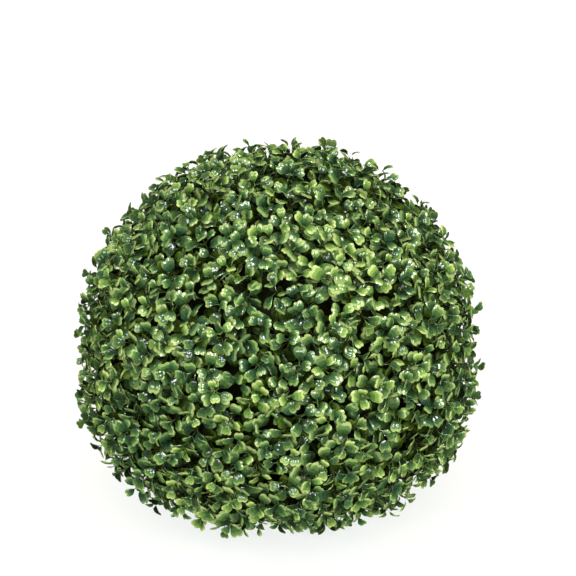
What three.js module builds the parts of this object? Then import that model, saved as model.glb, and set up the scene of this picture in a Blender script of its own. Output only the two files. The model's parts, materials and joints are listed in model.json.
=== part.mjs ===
// Artificial box topiary ball: a moulded core on a short foot, clad all over with leafy mats.
// Millimetres, +Z up. The flat cut under the foot lies on z = 0, with the origin at its middle.

import * as THREE from "three";

// ---- Driving dimensions ----

// The clipped outline, measured from the ball's centre, which lies at its widest level.
const WAIST_RADIUS = 183;
const RISE = 182;
const DROP = 154;
const UPPER_ROUNDNESS = 2;
const LOWER_ROUNDNESS = 2.9;

// Tufts stand in front of the clipped outline, or lie behind it, by up to this much.
const TUFT_REACH = 7;
const TUFT_SPAN = 55;
const TUFT_WAVES = 9;
const TUFT_SEED = 41;

// The moulded core that the mats are clipped to.
const CORE_RADIUS = 134;
const CORE_RISE = 134;
const CORE_DROP = 124;
const CORE_SIDES = 36;
const CORE_STEPS = 16;

// The short foot, from its flat cut on the ground to the seat under the core.
const FOOT_RADIUS = 46;
const STEM_RADIUS = 30;
const SEAT_RADIUS = 34;
const FOOT_SIDES = 32;
const FLARE_STEPS = 5;
const FLARE_POWER = 2;

// Clearances between neighbouring solids.
const SEAT_GAP = 0.3;
const CORE_GAP = 0.8;
const MAT_GAP = 1.2;
const GROUND_CLEARANCE = 0.6;

// Rows of mats, by polar angle from the top. A row of one mat is a closed ring or cap.
const MATS_PER_ROW = 6;
const MAT_COLUMNS = 10;
const RING_COLUMNS = 30;
const FOOT_HOLE = 162;
const ROWS = [
  { name: "foliage_crown", from: 0, to: 34, mats: 1, steps: 6, turn: 0 },
  { name: "foliage_upper", from: 34, to: 88, mats: MATS_PER_ROW, steps: 10, turn: 12 },
  { name: "foliage_lower", from: 88, to: 140, mats: MATS_PER_ROW, steps: 10, turn: 42 },
  { name: "foliage_under", from: 140, to: FOOT_HOLE, mats: 1, steps: 4, turn: 0 },
];

// Seams between mats wander by a few degrees: up and down along a row, and side to side,
// where each seam is out of step with the next by some radians.
const ROW_SEAM_SWAY = 2.5;
const ROW_SEAM_WAVES = 4;
const SIDE_SEAM_SWAY = 4;
const SIDE_SEAM_WAVES = 5;
const SIDE_SEAM_STEP = 2;

// Two points closer than this are the same corner.
const SAME_POINT = 1e-6;

// Each mat is a slightly different green.
const FOLIAGE_HUE = 0.25;
const FOLIAGE_HUE_SPREAD = 0.02;
const FOLIAGE_HUE_WAVES = 3;
const FOLIAGE_SATURATION = 0.36;
const FOLIAGE_LIGHTNESS = 0.3;

const radians = THREE.MathUtils.degToRad;
const mix = THREE.MathUtils.lerp;

// ---- Materials ----

const foliageMaterial = (hue) =>
  new THREE.MeshStandardMaterial({
    color: new THREE.Color().setHSL(hue, FOLIAGE_SATURATION, FOLIAGE_LIGHTNESS),
    roughness: 0.5,
    metalness: 0,
  });

const mouldedMaterial = new THREE.MeshStandardMaterial({
  color: 0x23281a,
  roughness: 0.7,
  metalness: 0,
});

// ---- Shape rules ----

/** Distance from the centre to an outline of two half superellipses, at a polar angle. */
function outlineRadius(polar, radius, rise, drop, lowerRoundness) {
  const upward = polar <= Math.PI / 2;
  const roundness = upward ? UPPER_ROUNDNESS : lowerRoundness;
  const height = upward ? rise : drop;
  const across = Math.abs(Math.sin(polar)) / radius;
  const along = Math.abs(Math.cos(polar)) / height;
  return (across ** roundness + along ** roundness) ** (-1 / roundness);
}

const clippedRadius = (polar) =>
  outlineRadius(polar, WAIST_RADIUS, RISE, DROP, LOWER_ROUNDNESS);

const coreRadius = (polar) =>
  outlineRadius(polar, CORE_RADIUS, CORE_RISE, CORE_DROP, UPPER_ROUNDNESS);

/** A repeatable source of numbers from 0 to 1. */
function randomSource(seed) {
  let state = seed;
  return () => {
    state = (state + 0x6d2b79f5) | 0;
    let mixed = Math.imul(state ^ (state >>> 15), 1 | state);
    mixed = (mixed + Math.imul(mixed ^ (mixed >>> 7), 61 | mixed)) ^ mixed;
    return ((mixed ^ (mixed >>> 14)) >>> 0) / 2 ** 32;
  };
}

/** Waves that cross the ball in mixed directions and add up to a field of tufts. */
function tuftWaves() {
  const random = randomSource(TUFT_SEED);
  const frequency = (2 * Math.PI * WAIST_RADIUS) / TUFT_SPAN;
  return Array.from({ length: TUFT_WAVES }, () => ({
    axis: new THREE.Vector3(random() - 0.5, random() - 0.5, random() - 0.5)
      .normalize()
      .multiplyScalar(frequency),
    phase: 2 * Math.PI * random(),
  }));
}

const waves = tuftWaves();

/** How far the tufts reach past the clipped outline in one direction, in millimetres. */
function tuftReach(direction) {
  const sum = waves.reduce(
    (total, { axis, phase }) => total + Math.sin(axis.dot(direction) + phase),
    0,
  );
  return TUFT_REACH * Math.tanh(sum / Math.sqrt(waves.length / 2));
}

/** Unit direction from the ball's centre at an azimuth and a polar angle. */
function directionAt(azimuth, polar) {
  return new THREE.Vector3().setFromSphericalCoords(1, polar, azimuth).applyAxisAngle(
    new THREE.Vector3(1, 0, 0),
    Math.PI / 2,
  );
}

/** A point on the leafy outside of a mat, kept clear of the ground. */
function leafyPoint(azimuth, polar, turn) {
  const direction = directionAt(azimuth, polar);
  const inBall = directionAt(azimuth + turn, polar);
  const reach = clippedRadius(polar) + tuftReach(inBall);
  const toGround = (DROP - GROUND_CLEARANCE) / Math.max(-direction.z, Number.EPSILON);
  return direction.multiplyScalar(Math.min(reach, toGround));
}

/** A point on the back of a mat, just off the core. */
function backPoint(azimuth, polar) {
  return directionAt(azimuth, polar).multiplyScalar(coreRadius(polar) + CORE_GAP);
}

// ---- Mesh building ----

/** Triangles between two edges of equal length, facing along edge direction × (near to far). */
function ribbon(near, far) {
  const triangles = [];
  for (let i = 0; i + 1 < near.length; i += 1) {
    triangles.push([near[i], near[i + 1], far[i + 1]]);
    triangles.push([near[i], far[i + 1], far[i]]);
  }
  return triangles;
}

const sharesCorner = ([a, b, c]) =>
  [[a, b], [b, c], [c, a]].some(([p, q]) => p.distanceTo(q) < SAME_POINT);

/** A geometry of the triangles, without those that have shrunk to a line at a pole. */
function geometryOf(triangles) {
  const corners = triangles.filter((triangle) => !sharesCorner(triangle)).flat();
  const geometry = new THREE.BufferGeometry().setFromPoints(corners);
  geometry.computeVertexNormals();
  return geometry;
}

/** A closed solid between an outside and a back, each a list of columns from top to bottom. */
function closedShell(outside, back, wrapped) {
  const triangles = [];
  for (let i = 0; i + 1 < outside.length; i += 1) {
    triangles.push(...ribbon(outside[i], outside[i + 1]));
    triangles.push(...ribbon(back[i + 1], back[i]));
  }
  if (!wrapped) {
    triangles.push(...ribbon(back[0], outside[0]));
    triangles.push(...ribbon(outside.at(-1), back.at(-1)));
  }
  const rowOf = (columns, index) => columns.map((column) => column.at(index));
  triangles.push(...ribbon(rowOf(outside, 0), rowOf(back, 0)));
  triangles.push(...ribbon(rowOf(back, -1), rowOf(outside, -1)));
  return geometryOf(triangles);
}

/** How far a seam between two mats of a row wanders from its meridian, as an angle. */
function sideSeamSway(seam, polar) {
  return radians(SIDE_SEAM_SWAY) * Math.sin(SIDE_SEAM_WAVES * polar + SIDE_SEAM_STEP * seam);
}

/** Polar angle of the seam that runs round the ball at a nominal polar angle in degrees. */
function rowSeam(nominal, azimuth) {
  const sway = radians(ROW_SEAM_SWAY) * Math.sin(ROW_SEAM_WAVES * azimuth + nominal);
  return radians(nominal) + sway;
}

/** Azimuth of a point across one mat, about the mat's own middle. */
function azimuthAt(row, index, across, polar) {
  if (row.mats === 1) return 2 * Math.PI * (across % 1);
  const half = Math.PI / row.mats;
  const inset = MAT_GAP / 2 / (coreRadius(polar) * Math.sin(polar));
  const left = -half + sideSeamSway(index, polar) + inset;
  const right = half + sideSeamSway((index + 1) % row.mats, polar) - inset;
  return mix(left, right, across);
}

/** Polar angle of a point down a row, between its two seams; a cap starts at the pole. */
function polarAt(row, down, azimuth) {
  const inset = MAT_GAP / 2 / CORE_RADIUS;
  const top = row.from === 0 ? 0 : rowSeam(row.from, azimuth) + inset;
  const bottom = row.to === FOOT_HOLE ? radians(row.to) : rowSeam(row.to, azimuth) - inset;
  return mix(top, bottom, down);
}

/** One mat of foliage as a closed uneven solid, turned to its place round the ball. */
function foliageMat(row, index) {
  const turn = radians(row.turn) + (2 * Math.PI * index) / row.mats;
  const columns = row.mats === 1 ? RING_COLUMNS : MAT_COLUMNS;
  const surface = (pointAt) =>
    Array.from({ length: columns + 1 }, (_, i) =>
      Array.from({ length: row.steps + 1 }, (_, j) => {
        const down = j / row.steps;
        const nominal = radians(mix(row.from, row.to, down));
        const azimuth = azimuthAt(row, index, i / columns, nominal);
        return pointAt(azimuth, polarAt(row, down, azimuth + turn), turn);
      }));
  const geometry = closedShell(surface(leafyPoint), surface(backPoint), row.mats === 1);
  const hue = FOLIAGE_HUE + FOLIAGE_HUE_SPREAD * Math.sin(FOLIAGE_HUE_WAVES * turn + row.from);
  const mesh = new THREE.Mesh(geometry, foliageMaterial(hue));
  mesh.name = row.mats === 1 ? row.name : `${row.name}_${index + 1}`;
  mesh.rotation.z = turn;
  return mesh;
}

/** A turned solid from a profile of [radius, height] that starts and ends on the axis. */
function turnedSolid(name, profile, sides) {
  const points = profile.map(([radius, height]) => new THREE.Vector2(radius, height));
  const mesh = new THREE.Mesh(new THREE.LatheGeometry(points, sides), mouldedMaterial);
  mesh.geometry.rotateX(Math.PI / 2);
  mesh.name = name;
  return mesh;
}

/** The core ball, cut flat underneath where it sits on the foot. */
function coreBall() {
  const seatPolar = Math.PI - Math.atan2(SEAT_RADIUS, seatDrop());
  const profile = [[0, -seatDrop()]];
  for (let i = 0; i <= CORE_STEPS; i += 1) {
    const polar = mix(seatPolar, 0, i / CORE_STEPS);
    const radius = coreRadius(polar);
    profile.push([i === CORE_STEPS ? 0 : radius * Math.sin(polar), radius * Math.cos(polar)]);
  }
  return turnedSolid("core_ball", profile, CORE_SIDES);
}

/** Depth of the core's flat seat under the ball's centre. */
function seatDrop() {
  return CORE_DROP * Math.sqrt(1 - (SEAT_RADIUS / CORE_RADIUS) ** 2);
}

/** The foot: a short stem that flares to its flat cut on the ground. */
function footStem() {
  const height = DROP - seatDrop() - SEAT_GAP;
  const profile = [[0, 0]];
  for (let i = 0; i <= FLARE_STEPS; i += 1) {
    const rise = i / FLARE_STEPS;
    profile.push([mix(STEM_RADIUS, FOOT_RADIUS, (1 - rise) ** FLARE_POWER), height * rise]);
  }
  profile.push([0, height]);
  return turnedSolid("foot_stem", profile, FOOT_SIDES);
}

// ---- Assembly ----

const ball = new THREE.Group();
ball.position.z = DROP;
ball.add(coreBall());
for (const row of ROWS) {
  for (let index = 0; index < row.mats; index += 1) {
    ball.add(foliageMat(row, index));
  }
}

const topiary = new THREE.Group();
topiary.add(footStem(), ball);

export default topiary;
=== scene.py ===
"""Artificial box topiary ball: leaf sprays on a moulded core that stands on a short foot.

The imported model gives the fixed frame. Each foliage mat of it is replaced by twigs and leaves that
one seeded branching rule grows out of the core, and the core and foot by moulded meshes with relief.
"""

from __future__ import annotations

import json
import logging
import math
from collections.abc import Sequence
from dataclasses import dataclass, field
from enum import Enum
from typing import Any, NamedTuple

import bpy
import numpy as np
from bpy.types import ID, Collection, Material, Mesh, Node, NodeSocket, NodeTree, Object
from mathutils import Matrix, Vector

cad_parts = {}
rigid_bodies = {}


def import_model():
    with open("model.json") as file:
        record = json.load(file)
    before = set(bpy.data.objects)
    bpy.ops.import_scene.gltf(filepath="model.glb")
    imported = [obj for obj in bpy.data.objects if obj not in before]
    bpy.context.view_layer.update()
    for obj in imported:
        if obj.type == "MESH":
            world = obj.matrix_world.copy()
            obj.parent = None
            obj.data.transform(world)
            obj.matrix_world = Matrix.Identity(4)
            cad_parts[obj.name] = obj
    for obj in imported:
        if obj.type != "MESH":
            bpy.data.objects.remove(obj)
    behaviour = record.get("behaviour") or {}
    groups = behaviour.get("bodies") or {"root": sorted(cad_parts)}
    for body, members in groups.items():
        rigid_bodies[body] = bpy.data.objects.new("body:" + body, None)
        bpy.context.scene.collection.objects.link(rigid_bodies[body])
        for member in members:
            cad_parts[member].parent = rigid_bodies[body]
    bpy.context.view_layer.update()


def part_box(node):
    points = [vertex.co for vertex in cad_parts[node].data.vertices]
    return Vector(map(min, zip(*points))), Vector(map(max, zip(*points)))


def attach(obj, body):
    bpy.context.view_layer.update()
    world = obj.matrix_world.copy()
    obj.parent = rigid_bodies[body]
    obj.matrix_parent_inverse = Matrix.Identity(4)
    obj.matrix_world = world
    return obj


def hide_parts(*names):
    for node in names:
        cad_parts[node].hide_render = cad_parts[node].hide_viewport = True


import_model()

BODY = "root"
LEAF_SLOT = "leaves"
PLASTIC_SLOT = "moulded_plastic"
SHADER = "Principled BSDF"
GOLDEN_TURN = math.pi * (3 - math.sqrt(5))

Array = np.ndarray
Values = dict[str | int, Any]
log = logging.getLogger("topiary")


# ---- Small tools ----


def unit(vector: Array) -> Array:
    """The vector at length one, or each row of an array of them."""
    return vector / np.linalg.norm(vector, axis=-1, keepdims=True)


def compass(azimuth: float, elevation: float) -> Array:
    """The direction at an azimuth, 0 being the front at -Y, and an elevation, in degrees."""
    across, up = math.radians(azimuth), math.radians(elevation)
    return np.array([math.sin(across) * math.cos(up), -math.cos(across) * math.cos(up),
                     math.sin(up)])


def linear(hex_colour: str) -> tuple[float, float, float, float]:
    """A screen colour, such as "4c7c3e", as the linear colour that a shader takes.

    Args:
        hex_colour: six hexadecimal digits.

    Returns:
        Red, green, blue and alpha, from 0 to 1.
    """
    parts = [int(hex_colour[i:i + 2], 16) / 255 for i in (0, 2, 4)]
    channels = [c / 12.92 if c <= 0.04045 else ((c + 0.055) / 1.055) ** 2.4 for c in parts]
    return (*channels, 1.0)


def ring_faces(first: int, second: int, count: int) -> list[tuple[int, ...]]:
    """Faces between two rings of points, from the number of each ring's first point."""
    return [(first + i, first + (i + 1) % count, second + (i + 1) % count, second + i)
            for i in range(count)]


def plain_mesh(name: str, points: Array, edges: Sequence = (), faces: Sequence = ()) -> Mesh:
    """A mesh from its points, edges and faces.

    Args:
        name: the mesh's name.
        points: an array of points, in metres.
        edges: pairs of point numbers.
        faces: loops of point numbers.

    Returns:
        The new mesh.
    """
    mesh = bpy.data.meshes.new(name)
    mesh.from_pydata(np.asarray(points).tolist(), list(edges), list(faces))
    mesh.update()
    return mesh


def link_object(data: ID) -> Object:
    """Puts a mesh, light or camera into the scene under its own name.

    Args:
        data: what the object holds.

    Returns:
        The new object, at the origin.
    """
    made = bpy.data.objects.new(data.name, data)
    bpy.context.scene.collection.objects.link(made)
    return made


def register(piece: Object, node: str) -> None:
    """Hands a finished piece to the frame and reports it.

    Args:
        piece: the finished object.
        node: the CAD node that it stands for.
    """
    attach(piece, BODY)
    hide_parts(node)
    log.info("%s: %d faces", piece.name, len(piece.data.polygons))


# ---- Node trees ----


class Graph:
    """A node tree under construction, in which one method makes every node."""

    def __init__(self, tree: NodeTree) -> None:
        """Keeps the tree that the nodes go into."""
        self.tree = tree

    def node(self, kind: str, inputs: Values | None = None, **settings: Any) -> Node:
        """Adds a node, sets it up, then fills or links its sockets.

        Args:
            kind: the node's type.
            inputs: values, sockets or signals, by the name or number of the input.
            settings: the node's own settings; "stops" are the places and colours of the two
                ends of a colour ramp.

        Returns:
            The new node.
        """
        made = self.tree.nodes.new(kind)
        for index, (place, colour) in enumerate(settings.pop("stops", ())):
            made.color_ramp.elements[index].position = place
            made.color_ramp.elements[index].color = colour
        for name, value in settings.items():
            setattr(made, name, value)
        self.fill(made, inputs or {})
        return made

    def fill(self, node: Node, inputs: Values) -> None:
        """Links a node's inputs, or sets them to plain values.

        Args:
            node: the node.
            inputs: values, sockets or signals, by the name or number of the input.
        """
        for key, value in inputs.items():
            source = value.socket if isinstance(value, Signal) else value
            if isinstance(source, NodeSocket):
                self.tree.links.new(source, node.inputs[key])
            else:
                node.inputs[key].default_value = source

    def signal(self, kind: str, output: str | int, inputs: Values, **settings: Any) -> Signal:
        """Adds a node and returns one of its outputs as a value to calculate with."""
        return Signal(self, self.node(kind, inputs, **settings).outputs[output])


class Signal:
    """A value at a socket, on which shader and geometry maths is written as Python."""

    def __init__(self, graph: Graph, socket: NodeSocket) -> None:
        """Keeps the tree and the socket."""
        self.graph = graph
        self.socket = socket

    def _math(self, operation: str, other: Any) -> Signal:
        """Adds one Math node on this value and another."""
        return self.graph.signal("ShaderNodeMath", 0, {0: self, 1: other}, operation=operation)

    def __add__(self, other: Any) -> Signal:
        """self + other, and other + self."""
        return self._math("ADD", other)

    def __mul__(self, other: Any) -> Signal:
        """self * other, and other * self."""
        return self._math("MULTIPLY", other)

    __radd__, __rmul__ = __add__, __mul__


class Stored(Enum):
    """Attributes that carry the growth into the geometry trees: the name and type of each."""

    ALONG = ("along", "FLOAT_VECTOR")
    FACING = ("facing", "FLOAT_VECTOR")
    SIZE = ("leaf_size", "FLOAT")
    TINT = ("tint", "INT")
    PRESS = ("press", "INT")
    ZONE = ("zone", "INT")
    GIRTH = ("girth", "FLOAT")
    BARK = ("bark", "INT")

    def store(self, mesh: Mesh, values: Any, domain: str = "POINT") -> None:
        """Stores one value for each point or face of a mesh.

        Args:
            mesh: the mesh to write to.
            values: one number or vector for each element.
            domain: POINT or FACE.
        """
        name, kind = self.value
        attribute = mesh.attributes.new(name, kind, domain)
        key = "vector" if kind == "FLOAT_VECTOR" else "value"
        attribute.data.foreach_set(key, np.asarray(values).ravel())

    def read(self, graph: Graph) -> Signal:
        """The attribute's value inside a geometry tree."""
        name, kind = self.value
        return graph.signal("GeometryNodeInputNamedAttribute", "Attribute", {"Name": name},
                            data_type=kind)


def open_tree(name: str, **inputs: str) -> tuple[Graph, dict[str, Signal]]:
    """An empty geometry tree with named inputs.

    Args:
        name: the tree's name.
        inputs: socket types by the name of the input.

    Returns:
        The graph, and the values of the tree's inputs by name.
    """
    tree = bpy.data.node_groups.new(name, "GeometryNodeTree")
    tree.interface.new_socket("Geometry", in_out="INPUT", socket_type="NodeSocketGeometry")
    for title, kind in inputs.items():
        tree.interface.new_socket(title, in_out="INPUT", socket_type=kind)
    tree.interface.new_socket("Geometry", in_out="OUTPUT", socket_type="NodeSocketGeometry")
    graph = Graph(tree)
    entry = graph.node("NodeGroupInput")
    return graph, {socket.name: Signal(graph, socket) for socket in entry.outputs if socket.name}


def close_tree(graph: Graph, shape: NodeSocket, code: Any, materials: list[Material]) -> NodeTree:
    """Realizes the instances of a geometry tree and gives every face its material.

    Args:
        graph: the tree's graph.
        shape: the finished shape.
        code: the number of a face's material in the list.
        materials: the materials by their numbers.

    Returns:
        The finished tree.
    """
    last = graph.node("GeometryNodeRealizeInstances", {"Geometry": shape})
    for number, material in enumerate(materials):
        chosen = graph.node("FunctionNodeCompare", {"A": code, "B": float(number)},
                            data_type="FLOAT", operation="EQUAL")
        last = graph.node("GeometryNodeSetMaterial",
                          {"Geometry": last.outputs[0], "Selection": chosen.outputs["Result"],
                           "Material": material})
    graph.node("NodeGroupOutput", {"Geometry": last.outputs[0]})
    return graph.tree


def grown_object(source: Mesh, tree: NodeTree, sizes: Values) -> Object:
    """Runs a geometry tree on a mesh and keeps the result as a plain mesh.

    Args:
        source: the points or paths that the tree works on, with the piece's name.
        tree: the geometry tree.
        sizes: values of the tree's inputs by name.

    Returns:
        An object without modifiers that holds the result.
    """
    made = link_object(source)
    modifier = made.modifiers.new("grow", "NODES")
    modifier.node_group = tree
    for item in tree.interface.items_tree:
        if item.in_out == "INPUT" and item.name in sizes:
            modifier[item.identifier] = sizes[item.name]
    mesh = bpy.data.meshes.new_from_object(
        made.evaluated_get(bpy.context.evaluated_depsgraph_get()))
    made.modifiers.remove(modifier)
    made.data = mesh
    bpy.data.meshes.remove(source)
    for name, _ in (stored.value for stored in Stored):
        if name in mesh.attributes:
            mesh.attributes.remove(mesh.attributes[name])
    return made


# ---- Finishes ----


class Zone(Enum):
    """Bands of a leaf that are moulded in different greens, from its base outward."""

    HEART = 0
    MIDDLE = 1
    SHOULDER = 2
    RIM = 3


class Tint(Enum):
    """Colourings of a leaf, as screen colours from its heart to its rim; OLIVE is painted shade for
    the leaves deep inside the ball.
    """

    LIME = ("314f23", "4b6b2d", "68823b", "91a25f")
    LIME_EDGED = ("223a20", "324e25", "4b6734", "7e9055")
    MID = ("1e341d", "284322", "3d5c2f", "6c8446")
    DEEP = ("19311e", "1f3b23", "2f4d2d", "587041")
    OLIVE = ("1f2b0a", "25350b", "30410e", "44581a")


class Habit(Enum):
    """How the colour of a shoot's leaves runs from its tip down: darker down the shoot and olive at
    its foot, painted shade of the ball's deep inside.
    """

    YOUNG = (Tint.LIME, Tint.LIME, Tint.LIME_EDGED, Tint.MID, Tint.OLIVE)
    EDGED = (Tint.LIME, Tint.LIME_EDGED, Tint.LIME_EDGED, Tint.MID, Tint.OLIVE)
    MIXED = (Tint.LIME_EDGED, Tint.LIME_EDGED, Tint.MID, Tint.OLIVE, Tint.OLIVE)
    GREEN = (Tint.MID, Tint.MID, Tint.DEEP, Tint.OLIVE, Tint.OLIVE)
    BLUISH = (Tint.MID, Tint.DEEP, Tint.DEEP, Tint.OLIVE, Tint.OLIVE)


TINTS = tuple(Tint)
ZONES = tuple(Zone)


def painted(name: str, inputs: Values) -> Material:
    """A material with plain values on its shader.

    Args:
        name: the material's name.
        inputs: the values by the names of the shader's inputs.

    Returns:
        The new material.
    """
    made = bpy.data.materials.new(name)
    made.use_nodes = True
    Graph(made.node_tree).fill(made.node_tree.nodes[SHADER], inputs)
    return made


@dataclass(frozen=True)
class LeafFinish:
    """Glossy moulded leaf plastic in one plain colour, dull on the olive leaves deep inside, whose
    dark colour is painted shade.
    """

    tint: Tint
    zone: Zone
    roughness: float = 0.34
    specular: float = 0.25
    coat: float = 0.9
    inner_specular: float = 0.1
    inner_coat: float = 0.0
    coat_roughness: float = 0.05

    def material(self) -> Material:
        """Builds the material."""
        inner = self.tint is Tint.OLIVE
        return painted(f"leaf_{self.tint.name.lower()}_{self.zone.name.lower()}", {
            "Base Color": linear(self.tint.value[self.zone.value]),
            "Roughness": self.roughness,
            "Specular IOR Level": self.inner_specular if inner else self.specular,
            "Coat Weight": self.inner_coat if inner else self.coat,
            "Coat Roughness": self.coat_roughness,
        })


class Bark(Enum):
    """Colours of the moulded twigs, dealt out by spray."""

    BROWN = "29250c"
    OLIVE = "2f3812"


@dataclass(frozen=True)
class TwigFinish:
    """Dull moulded twig plastic in one plain colour."""

    bark: Bark
    roughness: float = 0.5
    specular: float = 0.15

    def material(self) -> Material:
        """Builds the material."""
        return painted(f"twig_{self.bark.name.lower()}", {
            "Base Color": linear(self.bark.value), "Roughness": self.roughness,
            "Specular IOR Level": self.specular})


@dataclass(frozen=True)
class MouldedPlastic:
    """Dark moulded plastic with mottled colour, uneven dullness and a fine grain; its near-black
    colour is partly painted shade of the deep gaps between the sprays.
    """

    name: str = "moulded_core_plastic"
    # Near black: partly the plastic's own colour, partly painted shade where the core shows between
    # the sprays.
    dark: str = "0c0f03"
    light: str = "1f2407"
    dark_below: float = 0.35
    light_above: float = 0.68
    mottle_scale: float = 38.0
    mottle_detail: float = 4.0
    grain_scale: float = 900.0
    grain_detail: float = 2.0
    grain_height: float = 0.0002
    least_roughness: float = 0.52
    roughness_gain: float = 0.3
    specular: float = 0.1

    def material(self) -> Material:
        """Builds the node material on Object coordinates.

        Returns:
            The material.
        """
        made = painted(self.name, {"Specular IOR Level": self.specular})
        graph = Graph(made.node_tree)
        place = graph.node("ShaderNodeTexCoord").outputs["Object"]
        mottle = graph.signal("ShaderNodeTexNoise", "Fac", {
            "Vector": place, "Scale": self.mottle_scale, "Detail": self.mottle_detail})
        grain = graph.signal("ShaderNodeTexNoise", "Fac", {
            "Vector": place, "Scale": self.grain_scale, "Detail": self.grain_detail})
        stops = [(self.dark_below, linear(self.dark)), (self.light_above, linear(self.light))]
        colour = graph.node("ShaderNodeValToRGB", {"Fac": mottle}, stops=stops)
        bump = graph.node("ShaderNodeBump", {"Height": grain, "Distance": self.grain_height})
        graph.fill(made.node_tree.nodes[SHADER], {
            "Base Color": colour.outputs["Color"],
            "Roughness": self.least_roughness + self.roughness_gain * mottle,
            "Normal": bump.outputs["Normal"],
        })
        return made


# ---- The ball's form ----


@dataclass(frozen=True)
class Oval:
    """The outline of a turned body: two half superellipses that meet at its widest level."""

    radius: float
    rise: float
    drop: float
    upper_roundness: float = 2.0
    lower_roundness: float = 2.0
    area_steps: int = 400

    def reach(self, direction: Array) -> Array:
        """Distance to the outline from the middle of its widest level.

        Args:
            direction: unit vectors.

        Returns:
            One distance for each.
        """
        across = np.hypot(direction[..., 0], direction[..., 1]) / self.radius
        upward = direction[..., 2] > 0
        along = np.abs(direction[..., 2]) / np.where(upward, self.rise, self.drop)
        power = np.where(upward, self.upper_roundness, self.lower_roundness)
        return (across ** power + along ** power) ** (-1 / power)

    def meridian(self, polars: Array) -> Array:
        """The outline at some polar angles, as rows of radius and height."""
        outward = np.column_stack([np.sin(polars), 0 * polars, np.cos(polars)])
        return self.reach(outward)[:, None] * outward[:, ::2]

    def even_polars(self, count: int, lowest: float) -> Array:
        """Polar angles that share the body's surface evenly.

        Args:
            count: how many angles.
            lowest: where the shared surface ends, in degrees from the top.

        Returns:
            The angles in radians, in rising order.
        """
        polars = np.linspace(0, math.radians(lowest), self.area_steps)
        radii, heights = self.meridian(polars).T
        bands = np.hypot(np.diff(radii), np.diff(heights)) * (radii[1:] + radii[:-1])
        areas = np.concatenate([[0], np.cumsum(bands)])
        shares = (np.arange(count) + 0.5) / count
        return np.interp(shares * areas[-1], areas, polars)


@dataclass(frozen=True)
class BallForm:
    """The ball's clipped outline and its core, about one centre."""

    outline: Oval = Oval(radius=0.183, rise=0.182, drop=0.154, lower_roundness=2.9)
    core: Oval = Oval(radius=0.134, rise=0.134, drop=0.124)

    @property
    def centre(self) -> Array:
        """The ball's centre, at its widest level."""
        return np.array([0.0, 0.0, self.outline.drop])


class MatRow(NamedTuple):
    """A row of foliage mats, from the polar angle where it starts, in degrees."""

    name: str
    start: float
    mats: int
    turn: float

    def nodes(self) -> list[str]:
        """The CAD nodes of its mats, which are numbered where there are more than one."""
        return [self.name] if self.mats == 1 else [f"{self.name}_{i + 1}" for i in range(self.mats)]


@dataclass(frozen=True)
class MatLayout:
    """Where the mats lie on the ball, so that each spray is counted to its own mat."""

    rows: tuple[MatRow, ...] = (
        MatRow("foliage_crown", 0, 1, 0),
        MatRow("foliage_upper", 34, 6, 12),
        MatRow("foliage_lower", 88, 6, 42),
        MatRow("foliage_under", 140, 1, 0),
    )
    row_sway: float = math.radians(2.5)
    row_waves: int = 4

    def node_at(self, direction: Array) -> str:
        """The CAD node of the mat that holds a direction.

        Args:
            direction: a unit vector from the ball's centre.

        Returns:
            The node's name.
        """
        polar = math.acos(direction[2])
        azimuth = math.atan2(direction[0], -direction[1])
        row = self.rows[0]
        for candidate in self.rows[1:]:
            # The start, taken as an angle in radians, gives each row its own phase.
            sway = self.row_sway * math.sin(self.row_waves * azimuth + candidate.start)
            if polar >= math.radians(candidate.start) + sway:
                row = candidate
        step = math.tau / row.mats
        place = (azimuth - math.radians(row.turn)) / step + 0.5
        return row.nodes()[math.floor(place) % row.mats]

    def nodes(self) -> list[str]:
        """The names of all mats."""
        return [node for row in self.rows for node in row.nodes()]


# ---- Leaves ----


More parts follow.
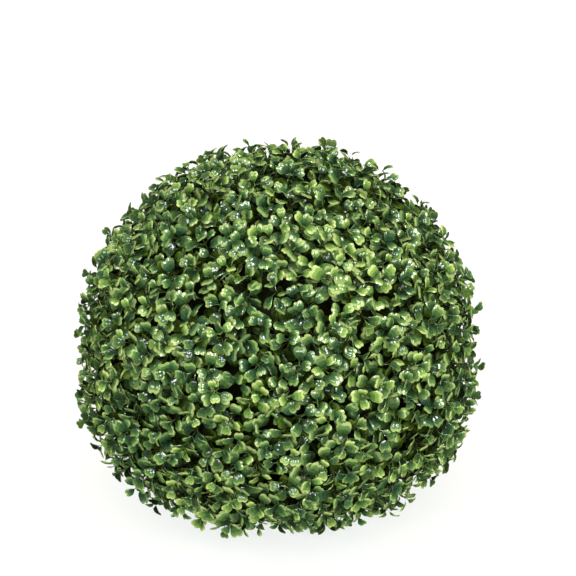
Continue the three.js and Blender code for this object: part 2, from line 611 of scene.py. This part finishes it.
@dataclass(frozen=True)
class LeafPress:
    """One moulded leaf: a short stalk and a blade that widens to two domed lobes and a notch.

    The neck, the lobes' place and radius, the arch and the bands are shares of the leaf's size.
    """

    length: float = 0.0163
    width: float = 0.0112
    stalk_width: float = 0.0009
    neck: float = 0.3
    lobe_radius: float = 0.293
    lobe_place: float = 0.207
    dome: float = 0.0022
    dome_reach: float = 0.98
    dome_tail: float = 2.0
    arch: float = 0.34
    bands: tuple[float, ...] = (1.0, 0.91, 0.73, 0.42)
    pleat: float = 0.00014
    pleat_shares: tuple[float, ...] = (0.35, 1.0, 1.0, 0.0)
    arc_steps: int = 5

    @property
    def radius(self) -> float:
        """The radius of each lobe's circle."""
        return self.lobe_radius * self.width

    @property
    def lobe(self) -> Array:
        """The middle of the right lobe's circle."""
        return np.array([self.lobe_place * self.width, self.length - self.radius])

    def blade(self) -> Array:
        """The blade's edge.

        Returns:
            Points from the right of the neck over both lobes to the left of it.
        """
        neck = np.array([self.stalk_width / 2, self.neck * self.length])
        notch_angle = math.atan2(math.sqrt(self.radius ** 2 - self.lobe[0] ** 2), -self.lobe[0])
        to_neck = neck - self.lobe
        open_angle = math.acos(self.radius / np.hypot(*to_neck))
        side_angle = math.atan2(to_neck[1], to_neck[0]) + open_angle
        angles = np.linspace(side_angle, notch_angle, self.arc_steps + 1)
        right = self.lobe + self.radius * np.column_stack([np.cos(angles), np.sin(angles)])
        half = np.vstack([neck, right])
        half[-1, 0] = 0.0
        mirrored = half[-2::-1] * [-1, 1]
        return np.vstack([half, mirrored])

    def height(self, flat: Array) -> Array:
        """How far each point of the flat leaf is pressed out of its plane.

        Args:
            flat: points in the leaf's plane, the base at the origin and the tip along +Y.

        Returns:
            Heights: two domed lobes with a crease between, and an arch back along the leaf.
        """
        reach = self.dome_reach * self.radius
        aside = (np.abs(flat[:, 0]) - self.lobe[0]) / reach
        ahead = (flat[:, 1] - self.lobe[1]) / reach
        ahead = np.where(ahead < 0, ahead / self.dome_tail, ahead)
        pillow = np.sqrt(np.clip(1 - aside ** 2 - ahead ** 2, 0, None))
        along = flat[:, 1] / self.length
        return self.dome * pillow - self.arch * self.length * along ** 2

    def mesh(self, name: str) -> Mesh:
        """The leaf as nested bands of faces, each marked with its zone.

        Args:
            name: the mesh's name.

        Returns:
            The leaf, with its base at the origin and its tip along +Y.
        """
        edge = self.blade()
        neck = np.array([0.0, self.neck * self.length])
        rings = [neck + band * (edge - neck) for band in self.bands]
        half_stalk = self.stalk_width / 2
        flat = np.vstack(rings + [[[-half_stalk, 0.0], [half_stalk, 0.0]]])
        count = len(edge)
        faces, zones = [], []
        for band, zone in enumerate((Zone.RIM, Zone.SHOULDER, Zone.MIDDLE)):
            faces += ring_faces(band * count, (band + 1) * count, count)
            zones += [zone.value] * count
        last = (len(rings) - 1) * count
        faces.append(tuple(range(last, last + count)))
        faces.append((len(flat) - 2, len(flat) - 1, 0, count - 1))
        zones += [Zone.HEART.value, Zone.SHOULDER.value]
        pleats = np.where(np.arange(count) % 2, self.pleat, -self.pleat)
        lift = np.concatenate([share * pleats for share in self.pleat_shares] + [np.zeros(2)])
        mesh = plain_mesh(name, np.column_stack([flat, self.height(flat) + lift]), faces=faces)
        Stored.ZONE.store(mesh, zones, "FACE")
        mesh.shade_smooth()
        return mesh


# ---- Growth ----


class Twig(NamedTuple):
    """A path of points with the twig's radius at each."""

    points: Array
    girths: Array
    bark: int


class Spray(NamedTuple):
    """What the shoots of one stalk share: their mat, fork, reach past the outline and bark."""

    node: str
    anchor: Array
    lean: Array
    fork: Array
    reach: float
    bark: int


class LeafSpot(NamedTuple):
    """Where a leaf sits, which way it points and faces, and how it looks."""

    place: Array
    along: Array
    facing: Array
    size: float
    tint: int
    press: int


@dataclass(frozen=True)
class HabitPatch:
    """A few neighbouring shoots that share a habit, about a direction on the ball, in degrees."""

    azimuth: float
    elevation: float
    spread: float
    habit: Habit

    def covers(self, direction: Array) -> bool:
        """Whether a direction from the ball's centre lies inside the patch."""
        nearness = direction @ compass(self.azimuth, self.elevation)
        return float(nearness) > math.cos(math.radians(self.spread))


@dataclass(frozen=True)
class GrowthRule:
    """The branching rule: lengths in metres, angles in degrees, counts and shares."""

    seed: int = 61
    sprays: int = 260
    tips: int = 1000
    lowest: float = 163
    spray_scatter: float = 0.03
    tip_scatter: float = 0.012
    gather: float = 0.04
    stalk: tuple[float, float] = (0.010, 0.017)
    lean: float = 0.10
    setback: float = 0.0083
    spray_reach: float = 0.0020
    tip_reach: float = 0.0044
    tip_limit: float = 1.6
    handle_out: float = 0.012
    handle_in: float = 0.014
    splay: float = 1.0
    tilt: float = 0.34
    steps: int = 7
    stalk_girth: float = 0.0012
    twig_girth: float = 0.00085
    tip_girth: float = 0.00045
    internode: float = 0.0068
    internode_shares: tuple[float, float] = (0.88, 1.12)
    spread_angles: tuple[float, ...] = (26, 38, 48, 58, 66)
    angle_jitter: float = 13
    roll_jitter: float = 20
    twist_jitter: float = 20
    leaf_sizes: tuple[float, ...] = (0.72, 0.92, 1.0, 1.0, 0.95)
    size_jitter: float = 0.07
    droop: float = 0.15
    lift: float = 0.12
    upright: float = 0.8
    ground_gap: float = 0.007
    low_level: float = 0.02
    lowest_heading: float = -0.12
    ground_ring: float = 0.103
    deal_parts: int = 4
    deal_looseness: float = 1.5
    shares: dict[Habit, float] = field(default_factory=lambda: {
        Habit.YOUNG: 0.07, Habit.EDGED: 0.27, Habit.MIXED: 0.31, Habit.GREEN: 0.22,
        Habit.BLUISH: 0.13})
    patches: tuple[HabitPatch, ...] = (
        HabitPatch(-34, 21, 6, Habit.YOUNG),
        HabitPatch(-9, 3, 6, Habit.YOUNG),
        HabitPatch(24, 36, 17, Habit.EDGED),
        HabitPatch(25, 38, 11, Habit.YOUNG),
        HabitPatch(30, 11, 9, Habit.EDGED),
        HabitPatch(-45, -12, 14, Habit.GREEN),
        HabitPatch(-2, 24, 13, Habit.GREEN),
    )


@dataclass
class Growth:
    """Twigs and leaves of the whole ball, sorted by the mat that they belong to."""

    form: BallForm
    rule: GrowthRule = GrowthRule()
    layout: MatLayout = MatLayout()
    presses: tuple[LeafPress, ...] = (
        LeafPress(), LeafPress(arch=0.46, dome=0.0026), LeafPress(arch=0.58))

    def __post_init__(self) -> None:
        """Starts the random draws from the fixed seed, with nothing grown yet."""
        self.random = np.random.default_rng(self.rule.seed)
        self.anchors = np.zeros((0, 3))
        self.twigs: dict[str, list[Twig]] = {node: [] for node in self.layout.nodes()}
        self.leaves: dict[str, list[LeafSpot]] = {node: [] for node in self.layout.nodes()}

    def grow(self) -> None:
        """Spreads sprays over the core and shoot tips over the outline, and joins them up."""
        rule = self.rule
        self.anchors = self._scatter(rule.sprays, rule.spray_scatter)
        tips = self._scatter(rule.tips, rule.tip_scatter)
        habits = self._deal_habits(tips)
        nearest = np.argmax(tips @ self.anchors.T, axis=1)
        for index, anchor in enumerate(self.anchors):
            own = np.flatnonzero(nearest == index)
            self._grow_spray(anchor, tips[own], [habits[number] for number in own])

    def _scatter(self, count: int, scatter: float) -> Array:
        """Directions on a golden spiral, even over the outline, each moved a little at random.

        Args:
            count: how many directions.
            scatter: how far they are moved.

        Returns:
            The directions, from the top down.
        """
        polars = self.form.outline.even_polars(count, self.rule.lowest)
        turns = GOLDEN_TURN * np.arange(count)
        even = np.column_stack([np.sin(polars) * np.cos(turns), np.sin(polars) * np.sin(turns),
                                np.cos(polars)])
        return unit(even + self.random.normal(0, scatter, even.shape))

    def _deal_habits(self, tips: Array) -> list[Habit]:
        """Deals a habit to each shoot so that neighbours differ, or its patch's habit.

        Neighbours on a golden spiral are a Fibonacci number of steps apart, so with four parts
        most shoots draw from another part of the shares than the shoots beside them.

        Args:
            tips: the directions of the shoot tips, in the spiral's order.

        Returns:
            One habit for each tip.
        """
        rule, parts = self.rule, self.rule.deal_parts
        turns = np.arange(len(tips)) % parts
        drawn = (turns + rule.deal_looseness * self.random.random(len(tips))) / parts % 1
        limits = np.cumsum(list(rule.shares.values()))
        dealt = [list(rule.shares)[number] for number in np.searchsorted(limits[:-1], drawn)]
        for index, tip in enumerate(tips):
            for patch in rule.patches:
                if patch.covers(tip):
                    dealt[index] = patch.habit
        return dealt

    def _grow_spray(self, anchor: Array, tips: Array, habits: list[Habit]) -> None:
        """Grows one stalk from the core and its shoots to their tips.

        Args:
            anchor: the direction in which the stalk leaves the core.
            tips: the directions of the spray's shoot tips.
            habits: the shoots' runs of colours.
        """
        rule, random = self.rule, self.random
        node = self.layout.node_at(anchor)
        bark = int(random.integers(len(Bark)))
        lean = unit(anchor + random.normal(0, rule.lean, 3))
        root = self.form.centre + anchor * (self.form.core.reach(anchor) - rule.stalk_girth)
        fork = root + lean * random.uniform(*rule.stalk)
        fork[2] = max(fork[2], rule.ground_gap)
        girths = np.array([rule.stalk_girth, rule.twig_girth])
        self.twigs[node].append(Twig(np.array([root, fork]), girths, bark))
        spray = Spray(node, anchor, lean, fork, random.normal(0, rule.spray_reach), bark)
        for tip, habit in zip(tips, habits):
            self._grow_shoot(spray, tip, habit)

    def _grow_shoot(self, spray: Spray, tip: Array, habit: Habit) -> None:
        """Grows one curved shoot and sets its leaves.

        Args:
            spray: the spray that it belongs to.
            tip: the direction of the shoot's tip from the ball's centre.
            habit: the shoot's run of colours.
        """
        rule, random = self.rule, self.random
        drawn = unit(tip + rule.gather * (spray.anchor - tip))
        stand = rule.tip_reach * np.clip(random.normal(), -rule.tip_limit, rule.tip_limit)
        distance = self.form.outline.reach(drawn) + spray.reach + stand - rule.setback
        if drawn[2] < 0:
            distance = min(distance, (self.form.outline.drop - rule.ground_gap) / -drawn[2])
        end = self.form.centre + drawn * distance
        heading = drawn + rule.splay * (tip - spray.anchor) + random.normal(0, rule.tilt, 3)
        heading = unit(heading + [0, 0, rule.lift])
        if end[2] < rule.low_level:
            heading[2] = max(heading[2], rule.lowest_heading)
            heading = unit(heading)
            end[:2] *= min(1, rule.ground_ring / math.hypot(end[0], end[1]))
        path = self._bezier(spray.fork, spray.fork + spray.lean * rule.handle_out,
                            end - heading * rule.handle_in, end)
        girths = np.linspace(rule.twig_girth, rule.tip_girth, len(path))
        self.twigs[spray.node].append(Twig(path, girths, spray.bark))
        self._set_leaves(spray.node, path, habit)

    def _bezier(self, *handles: Array) -> Array:
        """Points along a cubic curve, from its start, two handles and end."""
        t = np.linspace(0, 1, self.rule.steps)[:, None]
        weights = np.hstack([(1 - t) ** 3, 3 * t * (1 - t) ** 2, 3 * t ** 2 * (1 - t), t ** 3])
        return weights @ np.array(handles)

    def _set_leaves(self, node: str, path: Array, habit: Habit) -> None:
        """Sets opposite pairs of leaves down a shoot, each pair across the last.

        Args:
            node: the mat that the leaves belong to.
            path: the shoot's points, from fork to tip.
            habit: the shoot's run of colours.
        """
        rule, random = self.rule, self.random
        lengths = np.linalg.norm(np.diff(path, axis=0), axis=1)
        travelled = np.concatenate([[0], np.cumsum(lengths)])
        roll = random.uniform(0, math.tau)
        for level, (angle, size) in enumerate(zip(rule.spread_angles, rule.leaf_sizes)):
            back = level * rule.internode * random.uniform(*rule.internode_shares)
            travel = max(0, travelled[-1] - back)
            place = np.array([np.interp(travel, travelled, path[:, k]) for k in range(3)])
            segment = max(min(np.searchsorted(travelled, travel), len(lengths)) - 1, 0)
            tangent = unit(path[segment + 1] - path[segment])
            turn = roll + level * math.pi / 2 + math.radians(random.normal(0, rule.roll_jitter))
            for side in (0, math.pi):
                opening = math.radians(angle + random.normal(0, rule.angle_jitter))
                along, facing = self._leaf_axes(tangent, turn + side, opening)
                grown = size * (1 + random.normal(0, rule.size_jitter))
                press = int(random.integers(len(self.presses)))
                # Lower levels take darker tints down to olive: painted shade of the ball's inside.
                tint = TINTS.index(habit.value[level])
                self.leaves[node].append(LeafSpot(place, along, facing, grown, tint, press))

    def _leaf_axes(self, tangent: Array, turn: float, opening: float) -> tuple[Array, Array]:
        """Points a leaf, with a droop and a random twist.

        Args:
            tangent: the twig's direction where the leaf leaves it.
            turn: the leaf's angle round the twig.
            opening: its angle from the twig.

        Returns:
            The direction from the leaf's base to its tip, and the one that it faces.
        """
        rule = self.rule
        # Turns are counted from the level, or on a nearly upright twig from the Y-Z plane.
        helper = [0.0, 0.0, 1.0] if abs(tangent[2]) < rule.upright else [1.0, 0.0, 0.0]
        first = unit(np.cross(tangent, helper))
        second = np.cross(tangent, first)
        outward = math.cos(turn) * first + math.sin(turn) * second
        along = math.cos(opening) * tangent + math.sin(opening) * outward
        along = unit(along - [0, 0, rule.droop])
        facing = math.sin(opening) * tangent - math.cos(opening) * outward
        twist = math.radians(self.random.normal(0, rule.twist_jitter))
        facing = unit(facing + math.tan(twist) * np.cross(along, facing))
        return along, unit(facing - along * (facing @ along))


# ---- Foliage ----


@dataclass(frozen=True)
class Foliage:
    """Leaf and twig pieces of every mat, made from their growth."""

    growth: Growth
    leaf_scale: float = 1.0
    twig_sides: int = 5
    resting_height: float = 0.0005
    press_depth: float = 0.002

    def build(self) -> None:
        """Makes one piece of leaves and one of twigs for each mat."""
        moulds = self._mould_collection()
        leaf_tree = self._leaf_tree(moulds)
        twig_tree = self._twig_tree()
        for node in self.growth.layout.nodes():
            short = node.removeprefix("foliage_")
            points = self._leaf_points(f"leaves_{short}", self.growth.leaves[node])
            paths = self._twig_paths(f"twigs_{short}", self.growth.twigs[node])
            for source, tree, sizes, slot in (
                    (points, leaf_tree, {"Scale": self.leaf_scale}, LEAF_SLOT),
                    (paths, twig_tree, {"Sides": self.twig_sides}, PLASTIC_SLOT)):
                piece = grown_object(source, tree, sizes)
                self._rest_on_ground(piece.data)
                register(piece, node)
        pressed = list(moulds.objects)
        bpy.data.batch_remove([*pressed, *(mould.data for mould in pressed), moulds])

    def _mould_collection(self) -> Collection:
        """Presses one leaf of each kind.

        Returns:
            A collection of them, outside the scene.
        """
        moulds = bpy.data.collections.new("leaf_moulds")
        for number, press in enumerate(self.growth.presses):
            name = f"leaf_mould_{number}"
            moulds.objects.link(bpy.data.objects.new(name, press.mesh(name)))
        return moulds

    @staticmethod
    def _leaf_tree(moulds: Collection) -> NodeTree:
        """A tree that sets a leaf on every point and paints it by its tint and zone.

        Args:
            moulds: the pressed leaves.

        Returns:
            The tree, with the leaves' scale as its input.
        """
        graph, given = open_tree("set_leaves", Scale="NodeSocketFloat")
        turned = graph.node("FunctionNodeAxesToRotation",
                            {"Primary Axis": Stored.ALONG.read(graph),
                             "Secondary Axis": Stored.FACING.read(graph)},
                            primary_axis="Y", secondary_axis="Z")
        leaves = graph.node("GeometryNodeCollectionInfo",
                            {"Collection": moulds, "Separate Children": True,
                             "Reset Children": True})
        placed = graph.node("GeometryNodeInstanceOnPoints",
                            {"Points": given["Geometry"], "Instance": leaves.outputs[0],
                             "Pick Instance": True, "Instance Index": Stored.PRESS.read(graph),
                             "Rotation": turned.outputs["Rotation"],
                             "Scale": Stored.SIZE.read(graph) * given["Scale"]})
        code = Stored.TINT.read(graph) * len(ZONES) + Stored.ZONE.read(graph)
        materials = [LeafFinish(tint, zone).material() for tint in TINTS for zone in ZONES]
        return close_tree(graph, placed.outputs[0], code, materials)

    @staticmethod
    def _twig_tree() -> NodeTree:
        """A tree that sweeps a small ring along every path and paints it by its bark.

        Returns:
            The tree, with the ring's sides as its input.
        """
        graph, given = open_tree("sweep_twigs", Sides="NodeSocketInt")
        paths = graph.node("GeometryNodeMeshToCurve", {"Mesh": given["Geometry"]})
        ring = graph.node("GeometryNodeCurvePrimitiveCircle",
                          {"Resolution": given["Sides"], "Radius": 1.0})
        swept = graph.node("GeometryNodeCurveToMesh",
                           {"Curve": paths.outputs[0], "Profile Curve": ring.outputs[0],
                            "Scale": Stored.GIRTH.read(graph), "Fill Caps": True})
        smooth = graph.node("GeometryNodeSetShadeSmooth", {"Geometry": swept.outputs[0]})
        materials = [TwigFinish(bark).material() for bark in Bark]
        return close_tree(graph, smooth.outputs[0], Stored.BARK.read(graph), materials)

    @staticmethod
    def _leaf_points(name: str, spots: list[LeafSpot]) -> Mesh:
        """One mat's leaves as points that carry what the leaf tree reads.

        Args:
            name: the piece's name.
            spots: where its leaves sit.

        Returns:
            The points.
        """
        places, *columns = zip(*spots)
        points = plain_mesh(name, np.array(places))
        carried = (Stored.ALONG, Stored.FACING, Stored.SIZE, Stored.TINT, Stored.PRESS)
        for stored, values in zip(carried, columns):
            stored.store(points, values)
        return points

    @staticmethod
    def _twig_paths(name: str, twigs: list[Twig]) -> Mesh:
        """One mat's twigs as paths that carry what the twig tree reads.

        Args:
            name: the piece's name.
            twigs: its twigs.

        Returns:
            The paths.
        """
        counts = [len(twig.points) for twig in twigs]
        starts = set(np.cumsum(counts))
        edges = [(i, i + 1) for i in range(sum(counts) - 1) if i + 1 not in starts]
        paths = plain_mesh(name, np.vstack([twig.points for twig in twigs]), edges)
        Stored.GIRTH.store(paths, np.concatenate([twig.girths for twig in twigs]))
        Stored.BARK.store(paths, np.repeat([twig.bark for twig in twigs], counts))
        return paths

    def _rest_on_ground(self, mesh: Mesh) -> None:
        """Presses what would pass through the ground flat above it, in its own order.

        Args:
            mesh: the mesh of a piece.
        """
        flat = np.zeros(3 * len(mesh.vertices))
        mesh.vertices.foreach_get("co", flat)
        points = flat.reshape(-1, 3)
        above = (points[:, 2] - self.resting_height) / self.press_depth
        points[:, 2] = self.resting_height + self.press_depth * np.logaddexp(0, above)
        mesh.vertices.foreach_set("co", points.ravel())
        mesh.update()


# ---- Core and foot ----


def azimuths(sides: int) -> Array:
    """The angles of a row's points round the axis."""
    return np.arange(sides) * math.tau / sides


def turned_mesh(name: str, profile: Array, relief: Array) -> Mesh:
    """A closed turned solid with a relief sunk into it.

    Args:
        name: the mesh's name.
        profile: rows of radius and height, from the bottom up.
        relief: how deep each point of a row is sunk, for one row or for every row.

    Returns:
        The mesh, with the fronts of its faces outward.
    """
    count, sides = len(profile), relief.shape[-1]
    radii, heights = profile[:, :1] - relief, profile[:, 1:] + np.zeros(sides)
    turns = azimuths(sides)
    rows = np.stack([radii * np.cos(turns), radii * np.sin(turns), heights], axis=-1)
    points = np.vstack([rows.reshape(-1, 3), [0, 0, profile[0, 1]], [0, 0, profile[-1, 1]]])
    faces = []
    for row in range(count - 1):
        faces += ring_faces(row * sides, (row + 1) * sides, sides)
    bottom, top, last = count * sides, count * sides + 1, (count - 1) * sides
    for i in range(sides):
        j = (i + 1) % sides
        faces += [(bottom, j, i), (top, last + i, last + j)]
    return plain_mesh(name, points, faces=faces)


@dataclass(frozen=True)
class MouldedCore:
    """The core ball with the ribs of the mats' backing, and a socket under every stalk."""

    form: BallForm
    plastic: Material
    sides: int = 144
    rows: int = 72
    top_polar: float = 0.02
    rib_height: float = 0.0012
    ribs_round: int = 36
    ribs_down: int = 24
    sharpness: float = 6.0
    seat_radius: float = 0.034
    socket_radius: float = 0.0032
    socket_taper: float = 0.6
    socket_height: float = 0.003
    socket_sides: int = 8

    def build(self, anchors: Array) -> None:
        """Makes the core and its sockets.

        Args:
            anchors: the directions of the stalks.
        """
        seat = math.asin(self.seat_radius / self.form.core.radius)
        polars = np.linspace(math.pi - seat, self.top_polar, self.rows)
        profile = self.form.core.meridian(polars) + [0, self.form.outline.drop]
        down = np.abs(np.cos(azimuths(self.sides) * self.ribs_round / 2)) ** self.sharpness
        across = np.abs(np.cos(polars * self.ribs_down)) ** self.sharpness
        relief = self.rib_height * (1 - np.maximum(down, across[:, None]))
        mesh = turned_mesh("core_shell", profile, relief)
        mesh.shade_smooth()
        mesh.materials.append(self.plastic)
        register(link_object(mesh), "core_ball")
        self._sockets(anchors)

    def _sockets(self, anchors: Array) -> None:
        """Sets a tapered collar round the foot of every stalk.

        Args:
            anchors: the directions of the stalks.
        """
        graph, given = open_tree("set_sockets", Radius="NodeSocketFloat",
                                 Height="NodeSocketFloat")
        collar = graph.node("GeometryNodeMeshCone",
                            {"Vertices": self.socket_sides, "Depth": given["Height"],
                             "Radius Top": given["Radius"] * self.socket_taper,
                             "Radius Bottom": given["Radius"]}, fill_type="NGON")
        turned = graph.node("FunctionNodeAlignRotationToVector",
                            {"Vector": Stored.ALONG.read(graph)}, axis="Z")
        placed = graph.node("GeometryNodeInstanceOnPoints",
                            {"Points": given["Geometry"], "Instance": collar.outputs["Mesh"],
                             "Rotation": turned.outputs["Rotation"]})
        tree = close_tree(graph, placed.outputs[0], 0, [self.plastic])
        feet = self.form.centre + anchors * self.form.core.reach(anchors)[:, None]
        points = plain_mesh("stalk_sockets", feet)
        Stored.ALONG.store(points, anchors)
        sockets = grown_object(points, tree,
                               {"Radius": self.socket_radius, "Height": self.socket_height})
        register(sockets, "core_ball")


@dataclass(frozen=True)
class Foot:
    """The short fluted foot, flared to its flat cut on the ground."""

    plastic: Material
    radius: float = 0.046
    stem_radius: float = 0.030
    flutes: int = 16
    flute_depth: float = 0.0012
    sides: int = 128
    rows: int = 14

    def build(self) -> None:
        """Makes the foot between the ground and the core's seat."""
        low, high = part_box("foot_stem")
        rises = np.linspace(0, 1, self.rows)
        radii = self.stem_radius + (self.radius - self.stem_radius) * (1 - rises) ** 2
        profile = np.column_stack([radii, low[2] + (high[2] - low[2]) * rises])
        relief = self.flute_depth * np.sin(azimuths(self.sides) * self.flutes / 2) ** 2
        mesh = turned_mesh("fluted_foot", profile, relief)
        mesh.materials.append(self.plastic)
        register(link_object(mesh), "foot_stem")


# ---- Studio ----


class Reach(Enum):
    """What a light falls on, and what shades it."""

    PLANT = "the plant alone, shaded by itself and not by the floor"
    FLOOR = "the floor alone, and the plant throws no shadow on it"
    SHADED_FLOOR = "the floor alone, shaded by the plant"


@dataclass(frozen=True)
class SoftLight:
    """A wide light from far away, placed by its azimuth (0 is the front) and elevation.

    A light that glints is mirrored in glossy leaves, and one that bathes also lights their colour.
    """

    name: str
    azimuth: float
    elevation: float
    strength: float
    spread: float
    glints: bool = False
    bathes: bool = True
    reach: Reach = Reach.PLANT
    distance: float = 3.0

    def build(self, floor: Object) -> None:
        """Hangs the light, aimed at the origin, and links it to what it falls on.

        Args:
            floor: the floor, which gets its own lights.
        """
        data = bpy.data.lights.new(self.name, "SUN")
        data.energy = self.strength
        data.angle = math.radians(self.spread)
        source = Vector(compass(self.azimuth, self.elevation))
        lamp = link_object(data)
        lamp.location = self.distance * source
        lamp.rotation_euler = (-source).to_track_quat("-Z", "Y").to_euler()
        lamp.visible_glossy = self.glints
        lamp.visible_diffuse = self.bathes
        group = bpy.data.collections.new(f"{self.name}_reach")
        group.objects.link(floor)
        state = "EXCLUDE" if self.reach is Reach.PLANT else "INCLUDE"
        group.collection_objects[0].light_linking.link_state = state
        lamp.light_linking.receiver_collection = group
        if self.reach is not Reach.SHADED_FLOOR:
            lamp.light_linking.blocker_collection = group


@dataclass(frozen=True)
class Studio:
    """Pale floor, soft lights and the camera."""

    form: BallForm
    elevation: float = 20.0
    distance: float = 1.5
    lens: float = 100.8
    frame_right: float = 0.0099
    frame_up: float = 0.0484
    floor_size: float = 40.0
    floor_drop: float = 0.0002
    floor_colour: tuple[float, ...] = (0.895, 0.9, 0.925, 1.0)
    ambient: float = 0.305
    ambient_colour: tuple[float, ...] = (1.0, 0.95, 0.70, 1.0)
    mirrored: float = 0.05
    backdrop: tuple[float, ...] = (1.0, 1.0, 1.0, 1.0)
    lights: tuple[SoftLight, ...] = (
        SoftLight("key", 31, 48, 2.8, 18, glints=True),
        SoftLight("second_key", -38, 40, 1.1, 18, glints=True),
        SoftLight("left_softbox", -16, 36, 0.95, 12, glints=True, bathes=False),
        SoftLight("right_softbox", 18, 30, 0.95, 12, glints=True, bathes=False),
        SoftLight("low", 5, -12, 3.1, 40),
        SoftLight("left", -72, 20, 0.5, 30),
        SoftLight("right", 72, 22, 0.4, 30),
        SoftLight("top", 10, 76, 1.4, 30),
        SoftLight("back", 190, 22, 2.2, 40),
        SoftLight("wash", 0, 90, 2.65, 5, reach=Reach.FLOOR),
        SoftLight("contact", 0, 34, 0.6, 70, reach=Reach.SHADED_FLOOR),
    )

    def build(self) -> None:
        """Sets the whole studio up."""
        self._camera()
        floor = self._floor()
        self._surroundings()
        for light in self.lights:
            light.build(floor)
        bpy.context.scene.view_settings.view_transform = "Standard"

    def _camera(self) -> None:
        """Places the camera in front of the ball, looking down at it."""
        data = bpy.data.cameras.new("camera")
        data.lens = self.lens
        camera = link_object(data)
        camera.location = self.form.centre + self.distance * compass(0, self.elevation)
        up = compass(0, self.elevation + 90)
        aim = self.form.centre + self.frame_up * up + [self.frame_right, 0, 0]
        turned = (Vector(aim) - camera.location).to_track_quat("-Z", "Y")
        camera.rotation_euler = turned.to_euler()
        bpy.context.scene.camera = camera

    def _floor(self) -> Object:
        """Lays the pale floor.

        Returns:
            The floor.
        """
        half = self.floor_size / 2
        corners = [(x * half, y * half, -self.floor_drop)
                   for x, y in ((-1, -1), (1, -1), (1, 1), (-1, 1))]
        mesh = plain_mesh("floor", corners, faces=[(0, 1, 2, 3)])
        mesh.materials.append(painted("floor_card", {
            "Base Color": self.floor_colour, "Roughness": 1.0, "Specular IOR Level": 0.0}))
        floor = link_object(mesh)
        floor.visible_glossy = False
        return floor

    def _surroundings(self) -> None:
        """Lights the scene softly from all sides, and shows the backdrop behind it."""
        world = bpy.data.worlds.new("studio")
        world.use_nodes = True
        bpy.context.scene.world = world
        world.node_tree.nodes.clear()
        graph = Graph(world.node_tree)
        path = graph.node("ShaderNodeLightPath")
        mirror_ray = Signal(graph, path.outputs["Is Glossy Ray"])
        soft = graph.node("ShaderNodeBackground",
                          {"Color": self.ambient_colour,
                           "Strength": self.ambient + (self.mirrored - self.ambient) * mirror_ray})
        seen = graph.node("ShaderNodeBackground", {"Color": self.backdrop})
        mixed = graph.node("ShaderNodeMixShader",
                           {0: path.outputs["Is Camera Ray"], 1: soft.outputs[0],
                            2: seen.outputs[0]})
        graph.node("ShaderNodeOutputWorld", {"Surface": mixed.outputs[0]})


# ---- Assembly ----


def main() -> None:
    """Builds the studio, the foliage, the core and the foot."""
    logging.basicConfig(level=logging.INFO, format="%(message)s")
    form = BallForm()
    Studio(form).build()
    growth = Growth(form)
    growth.grow()
    Foliage(growth).build()
    plastic = MouldedPlastic().material()
    MouldedCore(form, plastic).build(growth.anchors)
    Foot(plastic).build()


if __name__ == "__main__":
    main()
